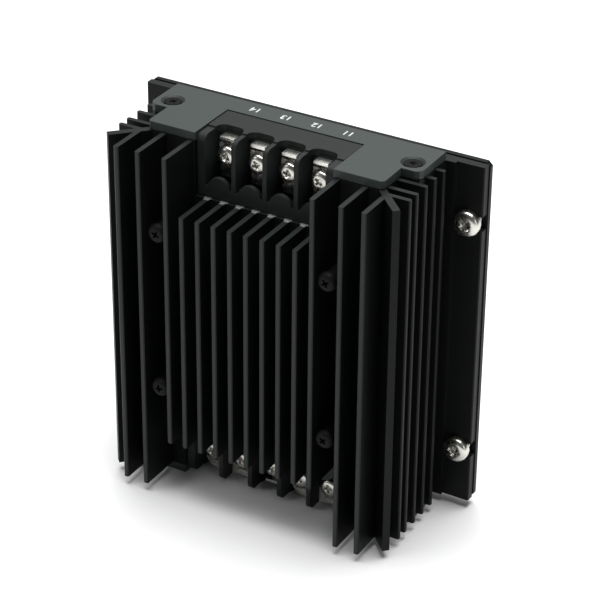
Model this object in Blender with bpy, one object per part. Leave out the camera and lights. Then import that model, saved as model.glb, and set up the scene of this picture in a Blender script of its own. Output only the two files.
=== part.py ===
"""Finned DC-DC converter module on a DIN-rail clip, as separate pieces.

All sizes are in millimetres in the datum's frame: X to the right along the rail, Y from the
flange's front face towards the rail, Z up from the lower end of the extruded housing.
"""

import math

import bmesh
import bpy

MM = 0.001

# ---- Driving dimensions (mm) ----
HOUSING_L = 104.6  # length of the extrusion
FLANGE_HALF = 52.3
FLANGE_T = 2.5
GAP = 0.3  # clearance between pieces that rest on each other
FIN_PITCH = 4.95
FIN_HALF = 0.75
FIN_TIP_Y = -38.45
TIP_CHAMFER = 0.3
WALL_Y = -24.9  # front face of the front wall
WALL_IN_Y = -22.5
OUTER_FIN_X = (30.64, 37.24)  # centre lines beyond the ten evenly spaced fins
SIDE_X = 35.7  # outer face of the side wall, in front of the screw bosses
BOSS_X = 41.4
SIDE_TIP_X = 44.2
SIDE_FIN_Y = (-22.1, -17.0, -11.9, -6.8)
SIDE_FIN_HALF = 0.7
CORNER_FIN_Y = -25.9
DIAGONAL_SUM = 10.8  # x + y along the middle of the 45-degree corner fin
DIAGONAL_TIP_X = 43.6
DIAGONAL_HALF = 1.05
CAVITY_X = 33.3
CAVITY_BACK_Y = -0.6
BOARD_BAY_X = 38.9
COVER_T = 2.3
COVER_GAP = 0.2
END_OUT = COVER_GAP + COVER_T  # outer face of a cover, beyond the end of the extrusion
COVER_SCREW = (36.8, -10.8)
NOTCH_DEPTH = 16.2  # how far the centre fins are cut back at each end
TERMINAL_PITCH = 9.52
BARRIER_HALF = 0.65
SCREW_OUT = -5.0  # terminal screw axis, measured outward from the extrusion's end
FLANGE_SCREW_X = 48.4
FLANGE_SCREW_Z = (16.8, 87.8)
BRICK_Z = 56.6
MODULE_SCREW = (26.0, 24.15)  # half spacings across and along
PLATE_Y = (FLANGE_T + GAP, FLANGE_T + GAP + 1.6)
SEAT_Y = 9.9  # where the rail's front face rests
CLIP_BACK_Y = 12.9
CLIP_HALF = 25.0
RAIL_Z = (36.7, 71.7)
CLIP_SCREW = (17.0, 54.2)
DATUM_Y = -(FIN_TIP_Y + CLIP_BACK_Y) / 2
DATUM_Z = END_OUT

BLACK_ANODISED = ((0.022, 0.024, 0.024), 0.45, 0.6)
COVER_BLACK = ((0.045, 0.052, 0.048), 0.5, 0.2)
MOULDED_BLACK = ((0.02, 0.022, 0.022), 0.5, 0.0)
NICKEL = ((0.72, 0.70, 0.64), 0.25, 1.0)
BLACK_SCREW = ((0.03, 0.03, 0.032), 0.4, 0.7)
SPRING_STEEL = ((0.5, 0.5, 0.5), 0.3, 1.0)
ZINC = ((0.6, 0.61, 0.62), 0.35, 1.0)
BOARD_GREEN = ((0.03, 0.14, 0.06), 0.5, 0.0)
PAD_GREY = ((0.35, 0.37, 0.4), 0.85, 0.0)
CERAMIC_GREY = ((0.12, 0.12, 0.13), 0.6, 0.0)
SLEEVE_BLUE = ((0.03, 0.05, 0.12), 0.35, 0.0)
COPPER = ((0.6, 0.26, 0.12), 0.35, 1.0)
FILM_AMBER = ((0.5, 0.28, 0.05), 0.4, 0.0)


def clear_scene():
    for obj in list(bpy.data.objects):
        bpy.data.objects.remove(obj, do_unlink=True)


def material(name, look):
    """One Principled BSDF for each finish, made the first time that it is asked for."""
    if name in bpy.data.materials:
        return bpy.data.materials[name]
    colour, roughness, metallic = look
    made = bpy.data.materials.new(name)
    made.use_nodes = True
    shader = made.node_tree.nodes["Principled BSDF"]
    shader.inputs["Base Color"].default_value = (*colour, 1.0)
    shader.inputs["Roughness"].default_value = roughness
    shader.inputs["Metallic"].default_value = metallic
    return made


def finish_object(name, mesh, datum, look_name, look, origin=(0.0, 0.0, 0.0)):
    obj = bpy.data.objects.new(name, mesh)
    bpy.context.scene.collection.objects.link(obj)
    obj.parent = datum
    obj.location = [value * MM for value in origin]
    mesh.materials.append(material(look_name, look))
    return obj


def mesh_from(name, shape):
    """Closes a bmesh made in millimetres into a mesh in metres."""
    bmesh.ops.remove_doubles(shape, verts=shape.verts, dist=1e-4)
    bmesh.ops.recalc_face_normals(shape, faces=shape.faces)
    bmesh.ops.scale(shape, vec=(MM, MM, MM), verts=shape.verts)
    mesh = bpy.data.meshes.new(name)
    shape.to_mesh(mesh)
    shape.free()
    return mesh


def add_prism(shape, outline, low, high, axis="Z"):
    """Extrudes an outline: (x, y) along Z, (x, z) along Y, or (y, z) along X."""
    place = {
        "Z": lambda a, b, c: (a, b, c),
        "Y": lambda a, b, c: (a, c, b),
        "X": lambda a, b, c: (c, a, b),
    }[axis]
    face = shape.faces.new([shape.verts.new(place(a, b, low)) for a, b in outline])
    grown = bmesh.ops.extrude_face_region(shape, geom=[face])
    top = [item for item in grown["geom"] if isinstance(item, bmesh.types.BMVert)]
    bmesh.ops.translate(shape, verts=top, vec=place(0, 0, high - low))


def prism_mesh(name, outline, low, high, axis="Z"):
    shape = bmesh.new()
    add_prism(shape, outline, low, high, axis)
    return mesh_from(name, shape)


def rectangle(a0, a1, b0, b1):
    return [(a0, b0), (a1, b0), (a1, b1), (a0, b1)]


def circle(radius, sides, centre=(0.0, 0.0), start=0.0, turn=2 * math.pi):
    closed = abs(turn - 2 * math.pi) < 1e-9
    steps = sides if closed else sides + 1
    angles = [start + turn * step / sides for step in range(steps)]
    return [(centre[0] + radius * math.cos(a), centre[1] + radius * math.sin(a)) for a in angles]


def lathe_mesh(name, profile, sides):
    """Turns a (radius, y) profile about the Y axis; its ends must lie on the axis."""
    shape = bmesh.new()
    points = [shape.verts.new((radius, y, 0.0)) for radius, y in profile]
    edges = [shape.edges.new(pair) for pair in zip(points, points[1:])]
    bmesh.ops.spin(
        shape, geom=points + edges, cent=(0, 0, 0), axis=(0, 1, 0), angle=2 * math.pi,
        steps=sides, use_merge=True,
    )
    return mesh_from(name, shape)


def cut(obj, name, mesh, at=(0.0, 0.0, 0.0)):
    """Cuts a hidden cutter, placed in the datum's frame, out of obj."""
    cutter = bpy.data.objects.new(name, mesh)
    bpy.context.scene.collection.objects.link(cutter)
    cutter.parent = obj.parent
    cutter.location = [value * MM for value in at]
    cutter.hide_render = True
    cutter.display_type = "WIRE"
    boolean = obj.modifiers.new(name, "BOOLEAN")
    boolean.operation = "DIFFERENCE"
    boolean.solver = "EXACT"
    boolean.object = cutter


def cut_prisms(obj, name, prisms):
    """Cuts several prisms that don't touch each other, as one cutter."""
    shape = bmesh.new()
    for outline, low, high, axis in prisms:
        add_prism(shape, outline, low, high, axis)
    cut(obj, name, mesh_from(name, shape))


def hole(x, z, radius, low, high, sides=16):
    """A round hole along Y, as a prism for cut_prisms."""
    return (circle(radius, sides, (x, z)), low, high, "Y")


# ---- Housing ----
def even_fins():
    return [FIN_PITCH * (step + 0.5) for step in range(5)]


def fin_outline(x, root_left, root_right):
    left, right = x - FIN_HALF, x + FIN_HALF
    tip, shoulder = FIN_TIP_Y, FIN_TIP_Y + TIP_CHAMFER
    return [
        (left, root_left), (left, shoulder), (left + TIP_CHAMFER, tip),
        (right - TIP_CHAMFER, tip), (right, shoulder), (right, root_right),
    ]


def side_fin(y, root_x, front_root_x=None):
    front, back = y - SIDE_FIN_HALF, y + SIDE_FIN_HALF
    first = root_x if front_root_x is None else front_root_x
    return [
        (first, front), (SIDE_TIP_X - TIP_CHAMFER, front), (SIDE_TIP_X, front + TIP_CHAMFER),
        (SIDE_TIP_X, back - TIP_CHAMFER), (SIDE_TIP_X - TIP_CHAMFER, back), (root_x, back),
    ]


def housing_half_outline():
    """The right half of the extrusion's section, from the front wall round to the back."""
    points = []
    for x in even_fins() + [OUTER_FIN_X[0]]:
        points += fin_outline(x, WALL_Y, WALL_Y)
    reach = DIAGONAL_HALF * math.sqrt(2)
    front_sum, back_sum = DIAGONAL_SUM - reach, DIAGONAL_SUM + reach
    points.append((front_sum - WALL_Y, WALL_Y))
    x = OUTER_FIN_X[1]
    points += fin_outline(x, front_sum - (x - FIN_HALF), front_sum - (x + FIN_HALF))
    half = reach / 2
    tip = (DIAGONAL_TIP_X, DIAGONAL_SUM - DIAGONAL_TIP_X)
    points += [(tip[0] - half, tip[1] - half), (tip[0] + half, tip[1] + half)]
    front, back = CORNER_FIN_Y - SIDE_FIN_HALF, CORNER_FIN_Y + SIDE_FIN_HALF
    points += side_fin(CORNER_FIN_Y, back_sum - back, back_sum - front)
    points.append((SIDE_X, back_sum - SIDE_X))
    for y in SIDE_FIN_Y[:2]:
        points += side_fin(y, SIDE_X)
    points += [(SIDE_X, -15.4), (39.6, -15.4), (40.8, -14.8), (BOSS_X, -13.6)]
    for y in SIDE_FIN_Y[2:]:
        points += side_fin(y, BOSS_X)
    points += [(BOSS_X, -1.0), (44.3, -1.0), (44.3, 0.0)]
    points += [(FLANGE_HALF - 0.3, 0.0), (FLANGE_HALF, 0.3), (FLANGE_HALF, FLANGE_T)]
    return points


def mirrored(half):
    return half + [(-x, y) for x, y in reversed(half)]


def cavity_outline():
    return mirrored([
        (CAVITY_X - 1.0, WALL_IN_Y), (CAVITY_X, WALL_IN_Y + 1.0), (CAVITY_X, -6.4),
        (BOARD_BAY_X, -6.4), (BOARD_BAY_X, -3.7), (37.4, -3.7), (37.4, -2.7),
        (BOARD_BAY_X, -2.7), (BOARD_BAY_X, CAVITY_BACK_Y),
    ])


def flange_slot(side, z):
    """An open-ended slot from the flange's side edge, for an M4 screw."""
    radius = 2.2
    arc = circle(radius, 10, (FLANGE_SCREW_X, z), math.pi / 2, math.pi)
    outline = arc + [(FLANGE_HALF + 2, z - radius), (FLANGE_HALF + 2, z + radius)]
    return ([(side * x, y) for x, y in outline], -2.0, FLANGE_T + 1, "Y")


def block_half_width(count):
    return count * TERMINAL_PITCH / 2 + 1.66


def make_housing(datum):
    mesh = prism_mesh("heatsink_housing", mirrored(housing_half_outline()), 0, HOUSING_L)
    obj = finish_object("heatsink_housing", mesh, datum, "black_anodised", BLACK_ANODISED)
    cut_prisms(obj, "cut_cavity", [(cavity_outline(), -5, HOUSING_L + 5, "Z")])
    notches = []
    for count, low, high in ((4, HOUSING_L - NOTCH_DEPTH, HOUSING_L + 5), (5, -5, NOTCH_DEPTH)):
        half = block_half_width(count) + GAP
        notches.append((rectangle(-half, half, FIN_TIP_Y - 5, WALL_IN_Y + 1), low, high, "Z"))
    cut_prisms(obj, "cut_terminal_notches", notches)
    slots = [flange_slot(side, z) for side in (-1, 1) for z in FLANGE_SCREW_Z]
    cut_prisms(obj, "cut_flange_slots", slots)
    across, along = MODULE_SCREW
    wall = [
        hole(side * across, BRICK_Z + level * along, 1.7, WALL_Y - 1, WALL_IN_Y + 1, 12)
        for side in (-1, 1) for level in (-1, 1)
    ]
    cut_prisms(obj, "cut_module_holes", wall)
    ends = [(circle(1.5, 12, (side * COVER_SCREW[0], COVER_SCREW[1])), -5, HOUSING_L + 5, "Z")
            for side in (-1, 1)]
    cut_prisms(obj, "cut_cover_screw_channels", ends)


# ---- Covers ----
def cover_outline(notch_half):
    return mirrored([
        (notch_half, -8.2), (notch_half, WALL_Y), (SIDE_X - 0.8, WALL_Y),
        (SIDE_X, WALL_Y + 0.8), (SIDE_X, -15.4), (39.6, -15.4), (40.8, -14.8),
        (BOSS_X, -13.6), (BOSS_X, -1.0),
    ])


def make_cover(datum, name, count, inner, direction):
    """A flat end plate with two countersunk screws; direction is the outward Z."""
    low, high = sorted((inner, inner + direction * COVER_T))
    outline = cover_outline(block_half_width(count) + GAP)
    obj = finish_object(name, prism_mesh(name, outline, low, high), datum, "cover", COVER_BLACK)
    for side, word in ((-1, "left"), (1, "right")):
        sink = lathe_mesh(name + "_sink", [(0, 0.5), (3.4, 0.5), (3.4, 0), (1.7, -1.7),
                                           (1.7, -4), (0, -4)], 14)
        centre = (side * COVER_SCREW[0], COVER_SCREW[1], inner + direction * COVER_T)
        cut(obj, f"{name}_sink_{word}", sink, centre)
        cutter = bpy.data.objects[f"{name}_sink_{word}"]
        cutter.rotation_euler = (direction * math.pi / 2, 0, 0)
        make_screw(f"{name}_screw_{word}", datum, centre, "countersunk", direction)


# ---- Screws ----
PAN_SIDES = 14
SCREW_KINDS = {
    # (radius, y) profiles with the head towards -Y, then the recess's depth and half length
    "terminal": ([(0, -2.0), (1.9, -1.9), (2.6, -1.4), (2.9, -0.6), (2.9, 0.0), (1.5, 0.0),
                  (1.5, 5.2), (0, 5.6)], 1.1, 1.5, "nickel", NICKEL),
    "flange": ([(0, -2.6), (2.4, -2.4), (3.3, -1.7), (3.7, -0.7), (3.7, 0.0), (2.0, 0.0),
                (2.0, 4.6), (0, 5.0)], 1.3, 2.0, "nickel", NICKEL),
    "module": ([(0, -2.0), (1.8, -1.9), (2.5, -1.3), (2.75, -0.5), (2.75, 0.0), (2.1, 0.0),
                (2.1, 10.4), (1.5, 10.4), (1.5, 17.0), (0, 17.4)], 1.1, 1.5,
               "black_screw", BLACK_SCREW),
    "clip": ([(0, -2.3), (2.4, -2.1), (3.3, -1.5), (3.7, -0.6), (3.7, 0.0), (2.0, 0.0),
              (2.0, 3.6), (0, 4.0)], 1.2, 1.9, "zinc", ZINC),
    "countersunk": ([(0, 0.25), (2.5, 0.25), (2.5, 0.45), (1.3, 1.75), (1.3, 8.0), (0, 8.4)],
                    1.1, 1.4, "black_screw", BLACK_SCREW),
}


def make_screw(name, datum, at, kind, direction=-1, upright=False):
    """A cross-recess screw. Its head faces -Y, or +Z or -Z on a cover, or +Y on the clip."""
    profile, depth, arm, look_name, look = SCREW_KINDS[kind]
    obj = finish_object(name, lathe_mesh(name, profile, PAN_SIDES), datum, look_name, look, at)
    top = profile[0][1]
    shape = bmesh.new()
    width = 0.4
    cross = [(arm, width), (width, width), (width, arm), (-width, arm), (-width, width),
             (-arm, width), (-arm, -width), (-width, -width), (-width, -arm), (width, -arm),
             (width, -width), (arm, -width)]
    add_prism(shape, cross, top - 1, top + depth, "Y")
    cut(obj, name + "_recess", mesh_from(name + "_recess", shape), at)
    if kind == "countersunk":
        turn = (-direction * math.pi / 2, 0, 0)
    elif kind == "clip":
        turn = (0, 0, math.pi)
    else:
        turn = (0, 0, 0)
    obj.rotation_euler = turn
    bpy.data.objects[name + "_recess"].rotation_euler = turn
    return obj


# ---- Terminal blocks ----
def end_z(outward, direction):
    """Z of a point that is this far outward from the end of the extrusion."""
    return HOUSING_L + outward if direction > 0 else -outward


def span_z(low, high, direction):
    return sorted((end_z(low, direction), end_z(high, direction)))


BLOCK_FRONT_Y = -24.2
BLOCK_WALL_Y = (-16.4, -14.6)
BLOCK_TOP = END_OUT - 0.2  # outward, just under the cover's face
BLOCK_LOW = -NOTCH_DEPTH + COVER_GAP
BARRIER_OUT = 1.9  # outer edge of the barrier walls
SHELF_OUT = 0.6
ARCH_Y = -15.9  # rear of the openings in the block's outer face
ARCH_RADIUS = 2.6
LOBE_OUT = -12.9


def cell_centres(count):
    return [TERMINAL_PITCH * (step - (count - 1) / 2) for step in range(count)]


def barrier_outline(direction):
    """A barrier wall's side view, (y, z), with a rounded outer front corner."""
    front, radius, rear = BLOCK_FRONT_Y, 2.2, BLOCK_WALL_Y[0] + 0.5
    centre = (front + radius, BARRIER_OUT - radius)
    corner = circle(radius, 6, centre, math.pi, -math.pi / 2)
    points = [(rear, BLOCK_LOW + 1.0), (front, BLOCK_LOW + 1.0)] + corner + [(rear, BARRIER_OUT)]
    return [(y, end_z(out, direction)) for y, out in points]


def block_section(direction):
    """The block's section without its cells, (y, z): shelf, rear wall, floor and front lip."""
    back = -8.5
    points = [
        (back, BLOCK_TOP), (back, SHELF_OUT), (BLOCK_WALL_Y[1], SHELF_OUT),
        (BLOCK_WALL_Y[1], BLOCK_LOW), (BLOCK_FRONT_Y, BLOCK_LOW), (BLOCK_FRONT_Y, LOBE_OUT),
        (-22.8, LOBE_OUT), (-22.8, -14.2), (BLOCK_WALL_Y[0], -13.4),
        (BLOCK_WALL_Y[0], SHELF_OUT), (ARCH_Y - ARCH_RADIUS, SHELF_OUT),
        (ARCH_Y - ARCH_RADIUS, BLOCK_TOP),
    ]
    return [(y, end_z(out, direction)) for y, out in points]


def union(obj, name, mesh):
    other = bpy.data.objects.new(name, mesh)
    bpy.context.scene.collection.objects.link(other)
    other.parent = obj.parent
    other.hide_render = True
    other.display_type = "WIRE"
    boolean = obj.modifiers.new(name, "BOOLEAN")
    boolean.operation = "UNION"
    boolean.solver = "EXACT"
    boolean.object = other


def arch_cut(x, direction):
    """The round-cornered wire opening through the shelf, as a prism along Z."""
    half, radius, back = TERMINAL_PITCH / 2 - BARRIER_HALF, ARCH_RADIUS, ARCH_Y
    right = circle(radius, 5, (x + half - radius, back - radius), 0, math.pi / 2)
    left = circle(radius, 5, (x - half + radius, back - radius), math.pi / 2, math.pi / 2)
    front = back - radius - 1.0
    outline = right + left + [(x - half, front), (x + half, front)]
    low, high = span_z(SHELF_OUT - 0.2, BLOCK_TOP + 1, direction)
    return (outline, low, high, "Z")


def make_block(datum, name, count, direction, link_barriers):
    half = block_half_width(count)
    mesh = prism_mesh(name, block_section(direction), -half, half, "X")
    obj = finish_object(name, mesh, datum, "moulded_black", MOULDED_BLACK)
    arches = [arch_cut(x, direction) for x in cell_centres(count)]
    cut_prisms(obj, name + "_arches", arches)
    shape = bmesh.new()
    outline = barrier_outline(direction)
    inner = [x + TERMINAL_PITCH / 2 for x in cell_centres(count)[:-1]]
    for x in inner:
        add_prism(shape, outline, x - BARRIER_HALF, x + BARRIER_HALF, "X")
    cell_edge = count * TERMINAL_PITCH / 2 - BARRIER_HALF
    for low, high in ((-half, -cell_edge), (cell_edge, half)):
        add_prism(shape, outline, low, high, "X")
    union(obj, name + "_barriers", mesh_from(name + "_barriers", shape))
    shape = bmesh.new()
    for x in cell_centres(count):
        lobe = circle(3.5, 10, (x, end_z(LOBE_OUT - 0.4, direction)), 0, direction * math.pi)
        add_prism(shape, lobe, BLOCK_FRONT_Y + 0.05, -22.85, "Y")
    union(obj, name + "_lobes", mesh_from(name + "_lobes", shape))
    holes = []
    for x in cell_centres(count):
        holes.append(hole(x, end_z(SCREW_OUT, direction), 1.9, -18, -13, 12))
        low, high = span_z(-12.3, -11.1, direction)
        holes.append((rectangle(x - 0.9, x + 0.9, low, high), -18, -13, "Y"))
    cut_prisms(obj, name + "_holes", holes)
    if link_barriers:
        low, high = span_z(-3.1, BLOCK_TOP + 1, direction)
        slots = [(rectangle(x - 1.5, x + 1.5, -18.9, -17.1), low, high, "Z")
                 for x in link_barriers]
        cut_prisms(obj, name + "_link_slots", slots)


PLATE_FRONT_Y = -17.5
PLATE_BACK_Y = -16.7
LINK_FRONT_Y = -18.3
TAIL_END_Y = -3.0


def make_terminal(datum, label, x, direction, linked):
    """A nickel terminal plate with its tail, the square clamp washer and the screw."""
    z = end_z(SCREW_OUT, direction)
    shape = bmesh.new()
    profile = [(-3.3, -12.4), (3.3, -12.4), (3.3, -2.4), (1.4, -1.7), (1.4, -0.9), (2.2, -0.6),
               (2.2, 0.3), (-2.2, 0.3), (-2.2, -0.6), (-1.4, -0.9), (-1.4, -1.7), (-3.3, -2.4)]
    outline = [(x + a, end_z(out, direction)) for a, out in profile]
    add_prism(shape, outline, PLATE_FRONT_Y, PLATE_BACK_Y, "Y")
    mesh = mesh_from(f"terminal_plate_{label}", shape)
    obj = finish_object(f"terminal_plate_{label}", mesh, datum, "nickel", NICKEL)
    shape = bmesh.new()
    low, high = span_z(-0.5, 0.3, direction)
    add_prism(shape, rectangle(x - 2.2, x + 2.2, -19.6, PLATE_FRONT_Y + 0.3), low, high, "Z")
    low, high = span_z(-12.1, -11.3, direction)
    add_prism(shape, rectangle(x - 0.6, x + 0.6, low, high), PLATE_BACK_Y - 0.3, TAIL_END_Y, "Y")
    union(obj, f"lip_{label}", mesh_from(f"lip_{label}", shape))
    cut_prisms(obj, f"tap_{label}", [hole(x, z, 1.8, PLATE_FRONT_Y - 1, PLATE_BACK_Y + 1, 12)])
    washer_back = (LINK_FRONT_Y if linked else PLATE_FRONT_Y) - 0.2
    clamp = prism_mesh(f"clamp_washer_{label}", rectangle(-3.0, 3.0, -3.0, 3.0), -0.8, 0, "Y")
    obj = finish_object(
        f"clamp_washer_{label}", clamp, datum, "nickel", NICKEL, (x, washer_back, z)
    )
    cut_prisms(obj, f"clamp_hole_{label}", [hole(x, z, 1.85, washer_back - 2, washer_back + 1, 12)])
    make_screw(f"terminal_screw_{label}", datum, (x, washer_back - 1.0, z), "terminal")


def make_link(datum, name, x0, x1):
    """A shorting link under two screws of the lower block, joined below the screws."""
    middle, half, tab = (x0 + x1) / 2, (x1 - x0) / 2, 3.6
    outer, inner, edge = half + tab, half - tab, BLOCK_TOP
    profile = [(-outer, -8.0), (-inner, -8.0), (-inner, -2.4), (inner, -2.4), (inner, -8.0),
               (outer, -8.0), (outer, edge - 2.4), (outer - 1.0, edge - 0.7), (outer - 2.6, edge),
               (-outer + 2.6, edge), (-outer + 1.0, edge - 0.7), (-outer, edge - 2.4)]
    outline = [(middle + a, end_z(out, -1)) for a, out in profile]
    mesh = prism_mesh(name, outline, LINK_FRONT_Y, PLATE_FRONT_Y - 0.2, "Y")
    obj = finish_object(name, mesh, datum, "nickel", NICKEL)
    z = end_z(SCREW_OUT, -1)
    holes = []
    low, high = span_z(-0.8, 0.6, -1)
    for x in (x0, x1):
        holes.append(hole(x, z, 1.8, LINK_FRONT_Y - 1, PLATE_FRONT_Y + 1, 12))
        holes.append((rectangle(x - 2.5, x + 2.5, low, high), -21, PLATE_FRONT_Y + 1, "Y"))
    cut_prisms(obj, name + "_holes", holes)


def make_terminals(datum):
    for number, x in enumerate(cell_centres(4), 1):
        make_terminal(datum, f"in_{number}", x, 1, False)
    outputs = cell_centres(5)
    for number, x in enumerate(outputs, 1):
        make_terminal(datum, f"out_{number}", x, -1, number != 3)
    make_link(datum, "link_left", outputs[0], outputs[1])
    make_link(datum, "link_right", outputs[3], outputs[4])


# ---- Inside the housing ----
BOARD_Y = (-6.0, -4.4)
BRICK_Y = (-21.7, -9.0)
BRICK_HALF = (30.5, 28.95)


def brick_pins():
    """Pin places on the module, (x, z): four at its input end and five at its output end."""
    top = [(x, BRICK_Z + 24.2) for x in (-22.0, -10.0, 10.0, 22.0)]
    low = [(x, BRICK_Z - 24.2) for x in (-20.0, -10.0, 0.0, 10.0, 20.0)]
    return top + low


def make_brick(datum):
    mesh = prism_mesh(
        "converter_module",
        rectangle(-BRICK_HALF[0], BRICK_HALF[0], BRICK_Z - BRICK_HALF[1], BRICK_Z + BRICK_HALF[1]),
        *BRICK_Y, "Y",
    )
    obj = finish_object("converter_module", mesh, datum, "module_black", CERAMIC_GREY)
    shape = bmesh.new()
    for x, z in brick_pins():
        add_prism(shape, circle(0.65, 6, (x, z)), BRICK_Y[1] - 0.5, -3.0, "Y")
    union(obj, "module_pins", mesh_from("module_pins", shape))
    across, along = MODULE_SCREW
    inserts = [
        hole(side * across, BRICK_Z + level * along, 1.8, BRICK_Y[0] - 1, -17.0, 12)
        for side in (-1, 1) for level in (-1, 1)
    ]
    cut_prisms(obj, "module_inserts", inserts)
    pad = prism_mesh(
        "thermal_pad", rectangle(-29.5, 29.5, BRICK_Z - 28, BRICK_Z + 28), -22.3, -21.9, "Y"
    )
    obj = finish_object("thermal_pad", pad, datum, "pad", PAD_GREY)
    holes = [hole(side * across, BRICK_Z + level * along, 2.4, -24, -20, 12)
             for side in (-1, 1) for level in (-1, 1)]
    cut_prisms(obj, "pad_holes", holes)
    for number, (side, level) in enumerate(((-1, 1), (1, 1), (-1, -1), (1, -1)), 1):
        at = (side * across, WALL_Y - 10.7, BRICK_Z + level * along)
        make_screw(f"module_screw_{number}", datum, at, "module")


def make_board(datum):
    outline = rectangle(-38.5, 38.5, 2.0, HOUSING_L - 2.0)
    mesh = prism_mesh("circuit_board", outline, *BOARD_Y, "Y")
    obj = finish_object("circuit_board", mesh, datum, "board", BOARD_GREEN)
    holes = [hole(x, z, 1.0, BOARD_Y[0] - 1, BOARD_Y[1] + 1, 6) for x, z in brick_pins()]
    for count, direction in ((4, 1), (5, -1)):
        z = end_z(-11.7, direction)
        holes += [hole(x, z, 1.0, BOARD_Y[0] - 1, BOARD_Y[1] + 1, 6) for x in cell_centres(count)]
    cut_prisms(obj, "board_holes", holes)
    film = prism_mesh("insulating_film", rectangle(-36.5, 36.5, 2, HOUSING_L - 2), -1.6, -1.2, "Y")
    finish_object("insulating_film", film, datum, "film", FILM_AMBER)
    parts = (
        ("input_capacitor", 27.3, 96.0, 4.9, -20.5, SLEEVE_BLUE),
        ("output_capacitor", 29.8, 20.6, 3.1, -18.5, SLEEVE_BLUE),
    )
    for name, x, z, radius, far, look in parts:
        can = [(0, far), (radius - 0.5, far), (radius, far + 0.5), (radius, BOARD_Y[0] - GAP),
               (0, BOARD_Y[0] - GAP)]
        finish_object(name, lathe_mesh(name, can, 16), datum, "sleeve", look, (x, 0, z))
    ring = circle(1.6, 8, (3.4, -11.0))
    shape = bmesh.new()
    points = [shape.verts.new((radius, y, 0.0)) for radius, y in ring]
    edges = [shape.edges.new(pair) for pair in zip(points, points[1:] + points[:1])]
    bmesh.ops.spin(shape, geom=points + edges, cent=(0, 0, 0), axis=(0, 1, 0),
                   angle=2 * math.pi, steps=16, use_merge=True)
    mesh = mesh_from("filter_choke", shape)
    finish_object("filter_choke", mesh, datum, "winding", COPPER, (-27.3, 0, 96.0))


# ---- Mounting ----
def make_flange_screws(datum):
    for side, word in ((-1, "left"), (1, "right")):
        for z, level in zip(FLANGE_SCREW_Z, ("lower", "upper")):
            at = (side * FLANGE_SCREW_X, -0.2, z)
            make_screw(f"flange_screw_{word}_{level}", datum, at, "flange")


def make_back_plate(datum):
    half, low, high, corner = FLANGE_HALF + 0.3, -0.3, HOUSING_L + 0.3, 1.2
    outline = [(-half + corner, low), (half - corner, low), (half, low + corner),
               (half, high - corner), (half - corner, high), (-half + corner, high),
               (-half, high - corner), (-half, low + corner)]
    mesh = prism_mesh("rail_adapter_plate", outline, *PLATE_Y, "Y")
    obj = finish_object("rail_adapter_plate", mesh, datum, "black_anodised", BLACK_ANODISED)
    holes = [hole(side * FLANGE_SCREW_X, z, 2.3, 0, 8) for side in (-1, 1) for z in FLANGE_SCREW_Z]
    holes += [hole(side * CLIP_SCREW[0], CLIP_SCREW[1], 2.3, 0, 8) for side in (-1, 1)]
    cut_prisms(obj, "plate_holes", holes)


CLIP_FRONT_Y = PLATE_Y[1] + GAP
CLIP_Z = (12.0, 77.0)
HOOK_Y = SEAT_Y + 1.2
LATCH_HALF = 9.0
LATCH_RIB_HALF = 6.0
STOP_Z = (16.0, 18.0)


def make_clip(datum):
    """The clip's fixed body: seat, upper hook, and the T-groove that guides the latch."""
    top = RAIL_Z[1] + 0.2
    outline = [
        (CLIP_FRONT_Y, CLIP_Z[0]), (SEAT_Y, CLIP_Z[0]), (SEAT_Y, top), (HOOK_Y, top),
        (HOOK_Y, top - 2.7), (CLIP_BACK_Y, top - 2.7), (CLIP_BACK_Y, CLIP_Z[1] - 1.5),
        (CLIP_BACK_Y - 1.5, CLIP_Z[1]), (CLIP_FRONT_Y, CLIP_Z[1]),
    ]
    mesh = prism_mesh("rail_clip_body", outline, -CLIP_HALF, CLIP_HALF, "X")
    obj = finish_object("rail_clip_body", mesh, datum, "clip_aluminium", BLACK_ANODISED)
    wide, narrow = LATCH_HALF + GAP, LATCH_RIB_HALF + GAP
    groove = [(-wide, 6.6), (wide, 6.6), (wide, 8.6), (narrow, 8.6), (narrow, SEAT_Y + 2),
              (-narrow, SEAT_Y + 2), (-narrow, 8.6), (-wide, 8.6)]
    cut_prisms(obj, "clip_groove", [(groove, CLIP_Z[0] - 2, RAIL_Z[0] + 0.6, "Z")])
    bores = []
    for side in (-1, 1):
        bores.append(hole(side * CLIP_SCREW[0], CLIP_SCREW[1], 2.3, 0, 8, 12))
    cut_prisms(obj, "clip_bores", bores)
    sinks = [hole(side * CLIP_SCREW[0], CLIP_SCREW[1], 4.0, 7.0, SEAT_Y + 1) for side in (-1, 1)]
    cut_prisms(obj, "clip_sinks", sinks)
    shape = bmesh.new()
    add_prism(shape, rectangle(-2.2, 2.2, *STOP_Z), 6.2, 9.4, "Y")
    union(obj, "clip_stop", mesh_from("clip_stop", shape))
    for side, word in ((-1, "left"), (1, "right")):
        at = (side * CLIP_SCREW[0], 7.1, CLIP_SCREW[1])
        make_screw(f"clip_screw_{word}", datum, at, "clip")


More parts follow.
